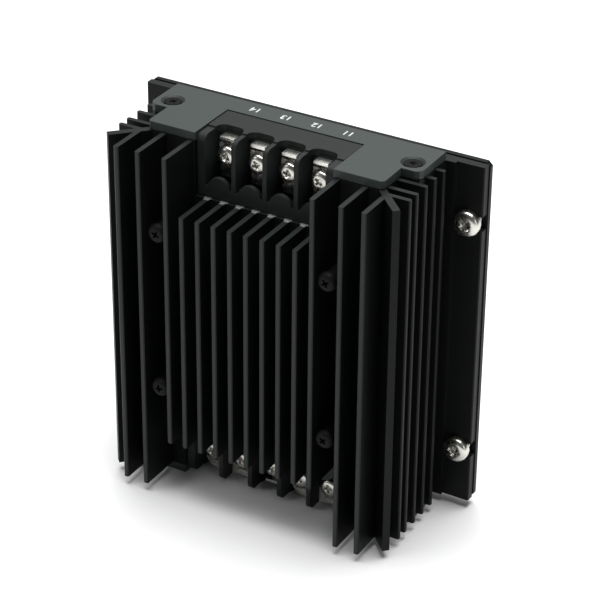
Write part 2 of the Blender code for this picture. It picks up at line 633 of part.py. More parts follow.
def make_latch(datum):
    """The sliding latch: hook under the rail's lower edge, spring window and pull tab."""
    hook_top, foot = RAIL_Z[0] + 2.5, (RAIL_Z[0] - 3.4, RAIL_Z[0] - 0.2)
    at = (0.0, 7.6, foot[0])
    shape = bmesh.new()
    add_prism(shape, rectangle(-LATCH_HALF, LATCH_HALF, 3.0 - at[2], foot[1] - at[2]),
              6.9 - at[1], 8.3 - at[1], "Y")
    mesh = mesh_from("rail_latch", shape)
    obj = finish_object("rail_latch", mesh, datum, "zinc", ZINC, at)
    shape = bmesh.new()
    hook = [(8.0, 20.0), (9.6, 20.0), (9.6, foot[0]), (CLIP_BACK_Y - 0.8, foot[0]),
            (CLIP_BACK_Y, foot[0] + 0.8), (CLIP_BACK_Y, hook_top - 1.0),
            (CLIP_BACK_Y - 1.0, hook_top), (HOOK_Y, hook_top), (HOOK_Y, foot[1]), (8.0, foot[1])]
    add_prism(shape, hook, -LATCH_RIB_HALF, LATCH_RIB_HALF, "X")
    union(obj, "latch_hook", mesh_from("latch_hook", shape))
    openings = [
        (rectangle(-2.6, 2.6, STOP_Z[0] - 0.3, 31.0), 5, 11, "Y"),
        (rectangle(-3.0, 3.0, 5.4, 8.0), 5, 11, "Y"),
    ]
    cut_prisms(obj, "latch_openings", openings)


SPRING = {"low": 18.25, "high": 30.75, "radius": 1.2, "wire": 0.25, "turns": 7, "y": 8.2}


def make_spring(datum):
    """A compression spring, as a tube swept along a helix with flat-pitched ends."""
    steps = SPRING["turns"] * 10
    curve = bpy.data.curves.new("latch_spring", "CURVE")
    curve.dimensions = "3D"
    curve.bevel_depth = SPRING["wire"] * MM
    curve.bevel_resolution = 1
    curve.use_fill_caps = True
    spline = curve.splines.new("POLY")
    spline.points.add(steps)
    low, high = SPRING["low"] + SPRING["wire"], SPRING["high"] - SPRING["wire"]
    for step, point in enumerate(spline.points):
        angle = 2 * math.pi * step / 10
        x, y = SPRING["radius"] * math.cos(angle), SPRING["radius"] * math.sin(angle)
        z = low + (high - low) * step / steps
        point.co = (x * MM, y * MM, z * MM, 1.0)
    obj = bpy.data.objects.new("latch_spring", curve)
    bpy.context.scene.collection.objects.link(obj)
    obj.parent = datum
    obj.location = (0.0, SPRING["y"] * MM, 0.0)
    curve.materials.append(material("spring_steel", SPRING_STEEL))


def shade():
    for obj in bpy.data.objects:
        if obj.type == "MESH":
            obj.data.shade_smooth()
            obj.data.set_sharp_from_angle(angle=math.radians(35))


def main():
    clear_scene()
    datum = bpy.data.objects.new("flange_datum", None)
    bpy.context.scene.collection.objects.link(datum)
    datum.location = (0.0, DATUM_Y * MM, DATUM_Z * MM)
    make_housing(datum)
    make_cover(datum, "top_cover", 4, HOUSING_L + COVER_GAP, 1)
    make_cover(datum, "bottom_cover", 5, -COVER_GAP, -1)
    make_block(datum, "input_terminal_block", 4, 1, [])
    outer = 1.5 * TERMINAL_PITCH
    make_block(datum, "output_terminal_block", 5, -1, [-outer, outer])
    make_terminals(datum)
    make_brick(datum)
    make_board(datum)
    make_flange_screws(datum)
    make_back_plate(datum)
    make_clip(datum)
    make_latch(datum)
    make_spring(datum)
    shade()


main()
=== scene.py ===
"""A finned DC-DC converter module on a clip for a 35 mm top-hat rail."""

import math

import bpy
import mathutils
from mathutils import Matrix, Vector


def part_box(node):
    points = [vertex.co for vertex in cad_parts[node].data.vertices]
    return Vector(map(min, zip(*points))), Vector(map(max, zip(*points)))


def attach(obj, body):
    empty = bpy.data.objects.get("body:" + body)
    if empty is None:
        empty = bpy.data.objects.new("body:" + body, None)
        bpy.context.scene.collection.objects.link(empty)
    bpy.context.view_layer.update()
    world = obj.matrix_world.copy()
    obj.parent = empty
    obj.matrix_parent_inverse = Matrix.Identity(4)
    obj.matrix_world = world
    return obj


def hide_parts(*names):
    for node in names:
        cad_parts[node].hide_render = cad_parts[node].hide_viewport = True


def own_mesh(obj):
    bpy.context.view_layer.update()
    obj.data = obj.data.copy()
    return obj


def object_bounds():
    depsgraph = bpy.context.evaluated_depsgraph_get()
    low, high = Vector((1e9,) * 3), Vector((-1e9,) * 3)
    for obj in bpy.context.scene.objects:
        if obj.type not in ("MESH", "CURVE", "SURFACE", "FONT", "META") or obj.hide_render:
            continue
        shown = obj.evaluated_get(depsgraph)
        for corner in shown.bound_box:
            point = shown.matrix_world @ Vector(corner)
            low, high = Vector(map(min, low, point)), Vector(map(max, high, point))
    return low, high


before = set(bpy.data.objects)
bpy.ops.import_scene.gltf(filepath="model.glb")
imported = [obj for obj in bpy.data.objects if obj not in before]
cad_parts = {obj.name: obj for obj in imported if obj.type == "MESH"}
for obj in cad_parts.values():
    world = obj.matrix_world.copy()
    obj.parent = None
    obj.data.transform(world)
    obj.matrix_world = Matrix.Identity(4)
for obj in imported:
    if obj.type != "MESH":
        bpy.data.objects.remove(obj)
cad_low, cad_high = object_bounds()

# ---- Camera ----
# A long lens stands well back to the module's right and looks down on it, so the fins and the
# ends of both terminal blocks show at once.
CAMERA_PLACE = mathutils.Vector((0.28698, -0.497635, 0.38758))
CAMERA_TURN, CAMERA_DROP, CAMERA_ROLL = (math.radians(a) for a in (29.57, 29.79, 0.54))

camera_data = bpy.data.cameras.new("camera")
camera_data.sensor_width = 36.0
camera_data.lens = 144.35
camera = bpy.data.objects.new("camera", camera_data)
bpy.context.scene.collection.objects.link(camera)
ahead = mathutils.Vector((
    -math.sin(CAMERA_TURN) * math.cos(CAMERA_DROP),
    math.cos(CAMERA_TURN) * math.cos(CAMERA_DROP),
    -math.sin(CAMERA_DROP),
))
level = mathutils.Vector((math.cos(CAMERA_TURN), math.sin(CAMERA_TURN), 0.0))
upright = level.cross(ahead)
right = math.cos(CAMERA_ROLL) * level + math.sin(CAMERA_ROLL) * upright
above = -math.sin(CAMERA_ROLL) * level + math.cos(CAMERA_ROLL) * upright
turn = mathutils.Matrix((right, above, -ahead)).transposed().to_4x4()
camera.matrix_world = mathutils.Matrix.Translation(CAMERA_PLACE) @ turn
bpy.context.scene.camera = camera
bpy.context.scene.view_settings.view_transform = "Standard"

# ---- Light ----
# Four soft boxes in a dim white studio: a large one overhead, a small one high behind the module,
# one in front on the left for the fin edges, and a weak one on the right.
world = bpy.data.worlds.new("studio")
world.use_nodes = True
world.node_tree.nodes["Background"].inputs["Color"].default_value = (0.93, 0.95, 0.96, 1.0)
world.node_tree.nodes["Background"].inputs["Strength"].default_value = 0.1
bpy.context.scene.world = world

SOFT_BOXES = (
    # name, place, size (m), power (W), aimed at
    ("box_above", (0.0, 0.1, 1.5), 1.2, 38.0, (0.0, 0.0, 0.0)),
    ("box_behind", (-0.35, 0.75, 0.7), 0.5, 1.4, (0.0, 0.0, 0.09)),
    ("box_left", (-0.75, -0.75, 0.55), 0.5, 1.8, (0.0, 0.0, 0.05)),
    ("box_right", (0.9, -0.35, 0.35), 0.4, 0.8, (0.0, 0.0, 0.05)),
)
for name, place, width, power, target in SOFT_BOXES:
    lamp = bpy.data.lights.new(name, "AREA")
    lamp.shape = "SQUARE"
    lamp.size = width
    lamp.energy = power
    holder = bpy.data.objects.new(name, lamp)
    bpy.context.scene.collection.objects.link(holder)
    holder.location = place
    aim = mathutils.Vector(target) - mathutils.Vector(place)
    holder.rotation_euler = aim.to_track_quat("-Z", "Y").to_euler()


# ---- Floor ----
# A wide sheet of matt white paper, a hair below the module's lower cover. Its tone drifts a
# little, as paper's does.
class Wire:
    """One output in a material's node tree. Arithmetic on it adds Math nodes."""

    def __init__(self, tree, socket):
        self.tree = tree
        self.socket = socket

    def node(self, kind, settings, inputs, output=0):
        made = self.tree.nodes.new(kind)
        for key, value in settings.items():
            setattr(made, key, value)
        for key, value in inputs.items():
            if isinstance(value, Wire):
                self.tree.links.new(value.socket, made.inputs[key])
            else:
                made.inputs[key].default_value = value
        return Wire(self.tree, made.outputs[output])

    def maths(self, operation, *values):
        return self.node("ShaderNodeMath", {"operation": operation}, dict(enumerate(values)))

    def __add__(self, other):
        return self.maths("ADD", self, other)

    def __sub__(self, other):
        return self.maths("SUBTRACT", self, other)

    def __rsub__(self, other):
        return self.maths("SUBTRACT", other, self)

    def __mul__(self, other):
        return self.maths("MULTIPLY", self, other)

    __radd__ = __add__
    __rmul__ = __mul__

    def size(self):
        return self.maths("ABSOLUTE", self)

    def rise(self, low, high):
        """0 below low and 1 above high, with a smooth step between them."""
        limits = {"Value": self, "From Min": low, "From Max": high}
        return self.node("ShaderNodeMapRange", {"interpolation_type": "SMOOTHSTEP"}, limits)

    def folded(self, span):
        """Counts up to span and back down to 0, over and over."""
        return self.maths("PINGPONG", self, span)

    def axis(self, name):
        return self.node("ShaderNodeSeparateXYZ", {}, {0: self}, name)

    def stretched(self, x, y, z):
        return self.node("ShaderNodeMapping", {}, {"Vector": self, "Scale": (x, y, z)})

    def noise(self, scale, detail=3.0, rough=0.5):
        inputs = {"Vector": self, "Scale": scale, "Detail": detail, "Roughness": rough}
        return self.node("ShaderNodeTexNoise", {}, inputs)

    def colours(self, first, second):
        """Mixes two colours by this wire."""
        inputs = {0: self, 6: first, 7: second}
        return self.node("ShaderNodeMix", {"data_type": "RGBA"}, inputs, 2)


class Finish:
    """A material under way: its shader's sockets, the object coordinates and the normal."""

    def __init__(self, name, **constants):
        self.material = bpy.data.materials.new(name)
        self.material.use_nodes = True
        tree = self.material.node_tree
        self.shader = tree.nodes["Principled BSDF"]
        for key, value in constants.items():
            self.shader.inputs[key.replace("_", " ")].default_value = value
        self.place = Wire(tree, tree.nodes.new("ShaderNodeTexCoord").outputs["Object"])
        self.normal = Wire(tree, tree.nodes.new("ShaderNodeNewGeometry").outputs["Normal"])

    def feed(self, name, wire):
        wire.tree.links.new(wire.socket, self.shader.inputs[name])

    def bump(self, height, depth, strength=1.0):
        inputs = {"Height": height, "Distance": depth, "Strength": strength}
        self.feed("Normal", height.node("ShaderNodeBump", {}, inputs))


def grey(value, green=1.0, blue=1.0):
    return (value, value * green, value * blue, 1.0)


FLOOR_WIDTH = 6.0
FLOOR_DROP = 0.0002
bpy.ops.object.select_all(action="DESELECT")
bpy.ops.mesh.primitive_plane_add(size=FLOOR_WIDTH, location=(0.0, 0.0, -FLOOR_DROP))
floor = bpy.context.active_object
floor.name = "floor"
sweep = Finish("floor_paper", Roughness=0.9)
mottle = sweep.place.noise(3.0, detail=2.0)
sweep.feed("Base Color", mottle.colours(grey(0.90), grey(0.93)))
floor.data.materials.append(sweep.material)

# ---- Heat sink housing ----
# A black anodised aluminium extrusion, sawn to length, with die lines along it. Its middle fins
# were milled off in front of both terminal blocks after anodising, which left bright nicks at
# their feet.
MM = 0.001
DATUM_Y = 12.775
DATUM_Z = 2.5
CUT_Z = (DATUM_Z + 88.4) * MM
LOW_CUT_Z = (DATUM_Z + 16.2) * MM
FIN_TIP_Y = (DATUM_Y - 38.45) * MM
WALL_FRONT_Y = (DATUM_Y - 24.9) * MM
FIN_PITCH = 4.95 * MM


def dress(piece, finish, body, slot, *replaced):
    """Gives a finished piece its material and body, and hides the CAD nodes it stands for. slot is
    not used.
    """
    piece.data.materials.clear()
    piece.data.materials.append(finish.material)
    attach(piece, body)
    if replaced:
        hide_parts(*replaced)


def softened(node, radius, finish, body, slot, segments=2):
    """A copy of a solid with its edges broken by a radius in mm, shown in the solid's place."""
    weld = 0.002 * MM
    flat_within = math.radians(0.5)
    edge_from = math.radians(25)
    smooth_below = math.radians(32)
    piece = bpy.data.objects.new(node + "_finished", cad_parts[node].data.copy())
    bpy.context.scene.collection.objects.link(piece)
    bpy.ops.object.select_all(action="DESELECT")
    bpy.context.view_layer.objects.active = piece
    piece.select_set(True)
    bpy.ops.object.mode_set(mode="EDIT")
    bpy.ops.mesh.select_all(action="SELECT")
    bpy.ops.mesh.remove_doubles(threshold=weld)
    bpy.ops.mesh.dissolve_limited(angle_limit=flat_within)
    bpy.ops.object.mode_set(mode="OBJECT")
    bevel = piece.modifiers.new("edge", "BEVEL")
    bevel.width = radius * MM
    bevel.segments = segments
    bevel.limit_method = "ANGLE"
    bevel.angle_limit = edge_from
    bevel.miter_outer = "MITER_ARC"
    bpy.ops.object.modifier_apply(modifier=bevel.name)
    bpy.ops.object.shade_smooth_by_angle(angle=smooth_below)
    flats = piece.modifiers.new("flats", "WEIGHTED_NORMAL")
    flats.keep_sharp = True
    flats.weight = 90
    bpy.ops.object.modifier_apply(modifier=flats.name)
    dress(piece, finish, body, slot, node)


def near_level(wire, level):
    """1 within about half a millimetre of a level, fading over the last 0.2 mm."""
    return 1.0 - (wire - level).size().rise(0.4 * MM, 0.6 * MM)


anodised = Finish("black_anodising", Specular_IOR_Level=0.14)
die_lines = anodised.place.stretched(1.0, 1.0, 0.02).noise(5200.0, detail=4.0, rough=0.6)
bands = anodised.place.stretched(1.0, 1.0, 0.12).noise(160.0, detail=3.0, rough=0.55)
dust = anodised.place.noise(2400.0, detail=2.0, rough=0.7).rise(0.66, 0.8)
facing_end = anodised.normal.axis("Z").size().rise(0.6, 0.9)
facing_front = (anodised.normal.axis("Y") * -1.0).rise(0.5, 0.9)
height = anodised.place.axis("Z")
depth = anodised.place.axis("Y")
milled = facing_end * (near_level(height, CUT_Z) + near_level(height, LOW_CUT_Z))
on_wall = depth.rise(WALL_FRONT_Y - 1.1 * MM, WALL_FRONT_Y - 0.5 * MM)
at_fins = anodised.place.axis("X").folded(FIN_PITCH / 2).rise(1.1 * MM, 1.8 * MM)
nicks = anodised.place.noise(900.0, detail=2.0, rough=0.6).rise(0.42, 0.58)
bare = milled * on_wall * at_fins * (0.35 + 0.65 * nicks)
# Painted highlight: the front faces of the fin tips get a paler grey, standing in for the front
# light that catches them. The bands vary it.
on_tips = facing_front * (1.0 - depth.rise(FIN_TIP_Y + 0.1 * MM, FIN_TIP_Y + 0.6 * MM))
painted_tip_highlight = on_tips * (0.55 + 0.45 * bands)
saw = anodised.place.stretched(0.35, 1.0, 1.0).noise(2600.0, detail=3.0, rough=0.6)

skin = bands.colours(grey(0.0022, 1.2, 1.15), grey(0.004, 1.2, 1.15))
# The paler grey mixed in here is the painted highlight on the front fin tips.
skin = (painted_tip_highlight * 0.9).colours(skin, grey(0.032, 1.14, 1.08))
skin = (facing_end * 0.8).colours(skin, grey(0.014, 1.2, 1.12))
skin = (dust * 0.12).colours(skin, grey(0.05))
anodised.feed("Base Color", bare.colours(skin, grey(0.62, 0.99, 0.96)))
anodised.feed("Metallic", bare)
anodised.feed("Roughness", 0.40 + 0.10 * bands + 0.05 * die_lines - 0.06 * painted_tip_highlight)
anodised.bump(die_lines * (1.0 - facing_end) + saw * facing_end * 1.4, depth=0.000012, strength=0.6)
softened("heatsink_housing", 0.16, anodised, "module", "black_anodised")

# ---- Adapter plate ----
# A 1.6 mm aluminium plate behind the flange, sheared square with clipped corners and anodised
# with the extrusion. The four flange screws hold the module to it.
plate_finish = Finish("plate_anodising", Specular_IOR_Level=0.14)
grain = plate_finish.place.stretched(0.04, 1.0, 1.0).noise(3600.0, detail=4.0, rough=0.6)
cloud = plate_finish.place.noise(70.0, detail=3.0, rough=0.5)
plate_finish.feed("Base Color", cloud.colours(grey(0.004, 1.15, 1.12), grey(0.007, 1.15, 1.12)))
plate_finish.feed("Roughness", 0.40 + 0.12 * cloud + 0.05 * grain)
plate_finish.bump(grain, depth=0.000008, strength=0.5)
softened("rail_adapter_plate", 0.15, plate_finish, "module", "black_anodised")

# ---- End covers ----
# Two flat plates with a fine black powder coat, screwed to the ends of the extrusion. Each is
# notched round its terminal block.
coat = Finish("powder_coat", Specular_IOR_Level=0.35)
peel = coat.place.noise(2600.0, detail=2.0, rough=0.5)
haze = coat.place.noise(45.0, detail=3.0, rough=0.5)
coat.feed("Base Color", haze.colours(grey(0.028, 1.28, 1.17), grey(0.034, 1.28, 1.17)))
coat.feed("Roughness", 0.42 + 0.10 * haze + 0.04 * peel)
coat.bump(peel, depth=0.00002, strength=0.35)
for cover in ("top_cover", "bottom_cover"):
    softened(cover, 0.3, coat, "module", "cover_black", segments=3)

# ---- Cover markings ----
# Generic terminal numbers, silk-screened on each cover behind its terminals. The white ink is a
# thin film and slightly worn.
WAY_PITCH = 9.52
NUMBER_HEIGHT = 3.3
NUMBER_Y = DATUM_Y - 4.6
INK_THICKNESS = 0.012
INK_LIFT = 0.013
ink = Finish("white_ink", Roughness=0.55)
wear = ink.place.noise(1800.0, detail=3.0, rough=0.6).rise(0.35, 0.6)
ink.feed("Base Color", wear.colours(grey(0.38, 1.05, 1.03), grey(0.62, 1.05, 1.03)))


def printed_number(text, x, z, facing_up):
    """A number in ink, centred at x and z in mm on an upper or a lower face."""
    bpy.ops.object.select_all(action="DESELECT")
    bpy.ops.object.text_add(location=(0.0, 0.0, 0.0))
    label = bpy.context.active_object
    label.data.body = text
    label.data.size = NUMBER_HEIGHT * MM
    label.data.align_x = "CENTER"
    label.data.align_y = "CENTER"
    label.data.extrude = INK_THICKNESS * MM
    label.data.offset = 0.06 * MM
    bpy.ops.object.convert(target="MESH")
    label = bpy.context.active_object
    label.name = "number_" + text
    label.rotation_euler = (0.0, 0.0, math.pi) if facing_up else (math.pi, 0.0, math.pi)
    label.location = (x * MM, NUMBER_Y * MM, z * MM)
    bpy.ops.object.transform_apply(location=True, rotation=True, scale=True)
    dress(label, ink, "module", "cover_black")


top_face = cad_high.z / MM
for index in range(4):
    printed_number(str(14 - index), WAY_PITCH * (index - 1.5), top_face + INK_LIFT, True)
for index in range(5):
    printed_number(str(25 - index), WAY_PITCH * (index - 2), -INK_LIFT, False)

# ---- Terminal blocks ----
# Barrier strips moulded in black glass-filled nylon: four ways above, five below. The moulding
# has a light satin skin with faint flow marks.
moulded = Finish("moulded_nylon", Specular_IOR_Level=0.2)
flow = moulded.place.stretched(1.0, 1.0, 0.3).noise(220.0, detail=3.0, rough=0.55)
fibre = moulded.place.noise(4200.0, detail=3.0, rough=0.6)
moulded.feed("Base Color", flow.colours(grey(0.009, 1.25, 1.17), grey(0.014, 1.25, 1.17)))
moulded.feed("Roughness", 0.40 + 0.10 * flow + 0.06 * fibre)
moulded.bump(fibre + flow * 0.5, depth=0.00002, strength=0.4)
for block in ("input_terminal_block", "output_terminal_block"):
    softened(block, 0.16, moulded, "module", "moulded_black")

# ---- Terminal plates, links and clamp washers ----
# Stamped brass. A nickel-plated plate with a turned-out lip stands in each cell, and a square
# nickel-plated washer is captive on each screw. Two tinned links bridge the outer output pairs.
nickel = Finish("nickel_plate", Metallic=1.0)
rolled = nickel.place.stretched(1.0, 1.0, 0.15).noise(1900.0, detail=3.0, rough=0.55)
tarnish = nickel.place.noise(420.0, detail=3.0, rough=0.6)
nickel.feed("Base Color", tarnish.colours(grey(0.52, 0.975, 0.89), grey(0.72, 0.985, 0.92)))
nickel.feed("Roughness", 0.17 + 0.14 * tarnish + 0.05 * rolled)
nickel.bump(rolled, depth=0.00001, strength=0.4)
WAYS = [("in", index + 1) for index in range(4)] + [("out", index + 1) for index in range(5)]
for side, number in WAYS:
    softened(f"terminal_plate_{side}_{number}", 0.10, nickel, "module", "nickel")
    softened(f"clamp_washer_{side}_{number}", 0.12, nickel, f"clamp_{side}_{number}", "nickel")
tinned = Finish("tinned_link", Metallic=0.55)
dull = tinned.place.noise(650.0, detail=3.0, rough=0.6)
tinned.feed("Base Color", dull.colours(grey(0.78, 0.99, 0.95), grey(0.90, 0.99, 0.96)))
tinned.feed("Roughness", 0.38 + 0.14 * dull)
tinned.bump(dull, depth=0.00001, strength=0.4)
for link in ("link_left", "link_right"):
    softened(link, 0.10, tinned, "module", "nickel")


# ---- Screws ----
# Cold-headed steel screws with a cross recess, each turned here once and copied: nickel pan
# heads for the terminals and flange, black ones for the module and covers, zinc for the clip.
def screw_shape(name, head_radius, rim, crown, level, recess, recess_width, shank):
    """A screw along Y with its head's underside at y = 0. Sizes in mm. The middle share level of
    the head is flat, recess is the cross's depth, and shank is (radius, length) steps to the tip."""
    sides = 48
    crown_steps = 5
    tip_chamfer = 0.3
    same_level = 1e-7
    bpy.ops.object.select_all(action="DESELECT")
    bpy.ops.mesh.primitive_cylinder_add(
        vertices=sides, radius=head_radius * MM, depth=rim * MM, location=(0, -rim * MM / 2, 0),
        rotation=(math.pi / 2, 0, 0),
    )
    screw = bpy.context.active_object
    screw.name = name
    bpy.ops.object.transform_apply(location=True, rotation=True, scale=True)
    bpy.ops.object.mode_set(mode="EDIT")
    bpy.ops.mesh.select_mode(type="FACE")

    def pick_end(outermost):
        bpy.ops.object.mode_set(mode="OBJECT")
        end = outermost(vertex.co.y for vertex in screw.data.vertices)
        for face in screw.data.polygons:
            face.select = abs(face.center.y - end) < same_level and abs(face.normal.y) > 0.9
        bpy.ops.object.mode_set(mode="EDIT")

    # The crown rises in steps along a quarter of an ellipse.
    reach = head_radius * (1 - level)
    for step in range(crown_steps):
        start = math.pi / 2 * step / crown_steps
        stop = math.pi / 2 * (step + 1) / crown_steps
        inward = reach * (math.cos(start) - math.cos(stop))
        outward = crown * (math.sin(stop) - math.sin(start))
        pick_end(min)
        bpy.ops.mesh.inset(thickness=inward * MM, depth=outward * MM)

    # The shank is drawn out of the head's underside and chamfered at the tip.
    pick_end(max)
    radius_now = head_radius
    for radius, length in shank:
        if radius != radius_now:
            bpy.ops.mesh.inset(thickness=(radius_now - radius) * MM, depth=0.0)
        bpy.ops.mesh.extrude_region_move(TRANSFORM_OT_translate={"value": (0, length * MM, 0)})
        radius_now = radius
    chamfer = radius_now * tip_chamfer * MM
    bpy.ops.mesh.inset(thickness=chamfer, depth=chamfer)
    bpy.ops.object.mode_set(mode="OBJECT")

    # Two tapered blades cut the cross. Each starts in the air above the head.
    head_top = -(rim + crown)
    clear_air = 0.4
    blade_length = head_radius * 1.02
    taper = (0.45, 1.0, 0.8)
    for angle in (0.0, math.pi / 2):
        blade_middle = head_top + (recess - clear_air) / 2
        bpy.ops.mesh.primitive_cube_add(size=1.0, location=(0, blade_middle * MM, 0))
        blade = bpy.context.active_object
        blade.scale = (blade_length * MM, (recess + clear_air) * MM, recess_width * MM)
        bpy.ops.object.transform_apply(location=True, rotation=True, scale=True)
        deepest = max(vertex.co.y for vertex in blade.data.vertices)
        for vertex in blade.data.vertices:
            vertex.select = abs(vertex.co.y - deepest) < same_level
        for edge in blade.data.edges:
            edge.select = False
        for face in blade.data.polygons:
            face.select = abs(face.center.y - deepest) < same_level
        bpy.ops.object.mode_set(mode="EDIT")
        bpy.ops.transform.resize(value=taper, center_override=(0, deepest, 0))
        bpy.ops.object.mode_set(mode="OBJECT")
        blade.rotation_euler = (0, angle, 0)
        bpy.ops.object.transform_apply(location=True, rotation=True, scale=True)
        bpy.ops.object.select_all(action="DESELECT")
        bpy.context.view_layer.objects.active = screw
        screw.select_set(True)
        punch = screw.modifiers.new("recess", "BOOLEAN")
        punch.operation = "DIFFERENCE"
        punch.solver = "EXACT"
        punch.object = blade
        bpy.ops.object.modifier_apply(modifier=punch.name)
        bpy.data.objects.remove(blade)

    rounding = screw.modifiers.new("rounding", "BEVEL")
    rounding.width = 0.05 * MM
    rounding.segments = 2
    rounding.limit_method = "ANGLE"
    rounding.angle_limit = math.radians(40)
    bpy.ops.object.modifier_apply(modifier=rounding.name)
    bpy.ops.object.shade_smooth_by_angle(angle=math.radians(35))
    return screw


def place_screw(master, node, finish, body, slot, degrees, head_at="front"):
    """Copies a screw into its solid's place, turned by degrees about its own axis. head_at says
    which end of the solid the head is at."""
    low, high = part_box(node)
    middle = (low + high) / 2
    head = -min(vertex.co.y for vertex in master.data.vertices)
    quarter = math.pi / 2
    lean, seat = {
        "front": ((0.0, "X"), (middle.x, low.y + head, middle.z)),
        "back": ((math.pi, "Z"), (middle.x, high.y - head, middle.z)),
        "top": ((-quarter, "X"), (middle.x, middle.y, high.z - head)),
        "bottom": ((quarter, "X"), (middle.x, middle.y, low.z + head)),
    }[head_at]
    spin = mathutils.Matrix.Rotation(math.radians(degrees), 4, "Y")
    tilt = mathutils.Matrix.Rotation(lean[0], 4, lean[1])
    piece = bpy.data.objects.new(node + "_turned", master.data.copy())
    bpy.context.scene.collection.objects.link(piece)
    piece.data.transform(mathutils.Matrix.Translation(seat) @ tilt @ spin)
    dress(piece, finish, body, slot, node)


terminal_screw = screw_shape(
    "terminal_screw", head_radius=2.9, rim=0.9, crown=1.1, level=0.4,
    recess=1.2, recess_width=0.8, shank=[(1.5, 5.2)],
)
LEFT_TURNED = (20, 65, 100, 40, 75, 10, 55, 30, 85)
for (side, number), degrees in zip(WAYS, LEFT_TURNED):
    node = f"terminal_screw_{side}_{number}"
    place_screw(terminal_screw, node, nickel, f"screw_{side}_{number}", "nickel", degrees)
bpy.data.objects.remove(terminal_screw)

flange_screw = screw_shape(
    "flange_screw", head_radius=3.7, rim=1.3, crown=1.3, level=0.45,
    recess=1.6, recess_width=1.0, shank=[(2.0, 4.6)],
)
FLANGE_SCREWS = (("left_lower", 30), ("left_upper", 75), ("right_lower", 15), ("right_upper", 50))
for corner, degrees in FLANGE_SCREWS:
    place_screw(flange_screw, f"flange_screw_{corner}", nickel, "module", "nickel", degrees)
bpy.data.objects.remove(flange_screw)

black_oxide = Finish("black_oxide", Specular_IOR_Level=0.12)
soot = black_oxide.place.noise(900.0, detail=3.0, rough=0.6)
black_oxide.feed("Base Color", soot.colours(grey(0.0025), grey(0.005)))
black_oxide.feed("Roughness", 0.50 + 0.16 * soot)
black_oxide.bump(soot, depth=0.00001, strength=0.4)
module_screw = screw_shape(
    "module_screw", head_radius=2.75, rim=0.7, crown=1.3, level=0.4,
    recess=1.2, recess_width=0.75, shank=[(2.1, 10.4), (1.5, 6.8)],
)
for number, degrees in ((1, 25), (2, 60), (3, 80), (4, 45)):
    node = f"module_screw_{number}"
    place_screw(module_screw, node, black_oxide, "module", "black_screw", degrees)
bpy.data.objects.remove(module_screw)

cover_screw = screw_shape(
    "cover_screw", head_radius=2.45, rim=0.2, crown=0.05, level=0.85,
    recess=1.0, recess_width=0.7, shank=[(2.45, 0.01), (1.3, 7.7)],
)
for end in ("top", "bottom"):
    for side, degrees in (("left", 35), ("right", 70)):
        node = f"{end}_cover_screw_{side}"
        place_screw(cover_screw, node, black_oxide, "module", "black_screw", degrees, end)
bpy.data.objects.remove(cover_screw)

zinc = Finish("zinc_plate", Metallic=1.0)
spangle = zinc.place.noise(520.0, detail=3.0, rough=0.55)
drawn = zinc.place.stretched(1.0, 1.0, 0.05).noise(3000.0, detail=3.0, rough=0.6)
zinc.feed("Base Color", spangle.colours(grey(0.50, 1.0, 1.02), grey(0.64, 1.0, 1.02)))
zinc.feed("Roughness", 0.26 + 0.16 * spangle + 0.05 * drawn)
zinc.bump(drawn, depth=0.00001, strength=0.5)
clip_screw = screw_shape(
    "clip_screw", head_radius=3.7, rim=0.9, crown=1.4, level=0.45,
    recess=1.4, recess_width=0.95, shank=[(2.0, 3.6)],
)
for side, degrees in (("left", 20), ("right", 65)):
    place_screw(clip_screw, f"clip_screw_{side}", zinc, "module", "zinc", degrees, "back")
bpy.data.objects.remove(clip_screw)

# ---- Rail clip and latch ----
# The clip is a short aluminium extrusion, sawn and anodised black. The latch is a pressed and
# zinc-plated steel slide in its groove.
clip_finish = Finish("clip_anodising", Specular_IOR_Level=0.2)
run = clip_finish.place.stretched(0.03, 1.0, 1.0).noise(3600.0, detail=4.0, rough=0.6)
shade = clip_finish.place.noise(60.0, detail=3.0, rough=0.5)
clip_finish.feed("Base Color", shade.colours(grey(0.006, 1.15, 1.1), grey(0.010, 1.15, 1.1)))
clip_finish.feed("Roughness", 0.36 + 0.12 * shade + 0.06 * run)
clip_finish.bump(run, depth=0.00001, strength=0.6)
softened("rail_clip_body", 0.22, clip_finish, "module", "clip_black")
softened("rail_latch", 0.18, zinc, "latch", "zinc")

# ---- Latch spring ----
# A compression spring of bright 0.5 mm wire between the clip's fixed stop and the latch. The real
# spring shortens as the latch is pulled down; this one keeps its rest length.
spring_low, spring_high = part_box("latch_spring")
COILS = 7
WIRE_RADIUS = 0.25 * MM
COIL_RADIUS = 1.2 * MM
bpy.ops.object.select_all(action="DESELECT")
bpy.ops.mesh.primitive_circle_add(
    vertices=12, radius=WIRE_RADIUS, fill_type="NGON", rotation=(math.pi / 2, 0, 0),
    location=(COIL_RADIUS, 0, 0),
)
spring = bpy.context.active_object
spring.name = "spring_coil"
bpy.ops.object.transform_apply(location=True, rotation=True, scale=True)
coil = spring.modifiers.new("coil", "SCREW")
coil.axis = "Z"
coil.angle = 2 * math.pi
coil.iterations = COILS
coil.screw_offset = (spring_high.z - spring_low.z - 2 * WIRE_RADIUS) / COILS
coil.steps = coil.render_steps = 28
coil.use_merge_vertices = True
coil.merge_threshold = 1e-6
bpy.ops.object.modifier_apply(modifier=coil.name)
bpy.ops.object.mode_set(mode="EDIT")
bpy.ops.mesh.select_all(action="SELECT")
bpy.ops.mesh.remove_doubles(threshold=1e-6)
bpy.ops.mesh.normals_make_consistent(inside=False)
bpy.ops.object.mode_set(mode="OBJECT")
centre = (spring_low + spring_high) / 2
spring.location = (centre.x, centre.y, spring_low.z + WIRE_RADIUS)
bpy.ops.object.transform_apply(location=True, rotation=True, scale=True)
bpy.ops.object.shade_smooth_by_angle(angle=math.radians(50))
steel = Finish("spring_wire", Metallic=1.0)
draw_marks = steel.place.noise(3000.0, detail=2.0, rough=0.5)
steel.feed("Base Color", draw_marks.colours(grey(0.45), grey(0.60)))
steel.feed("Roughness", 0.22 + 0.12 * draw_marks)
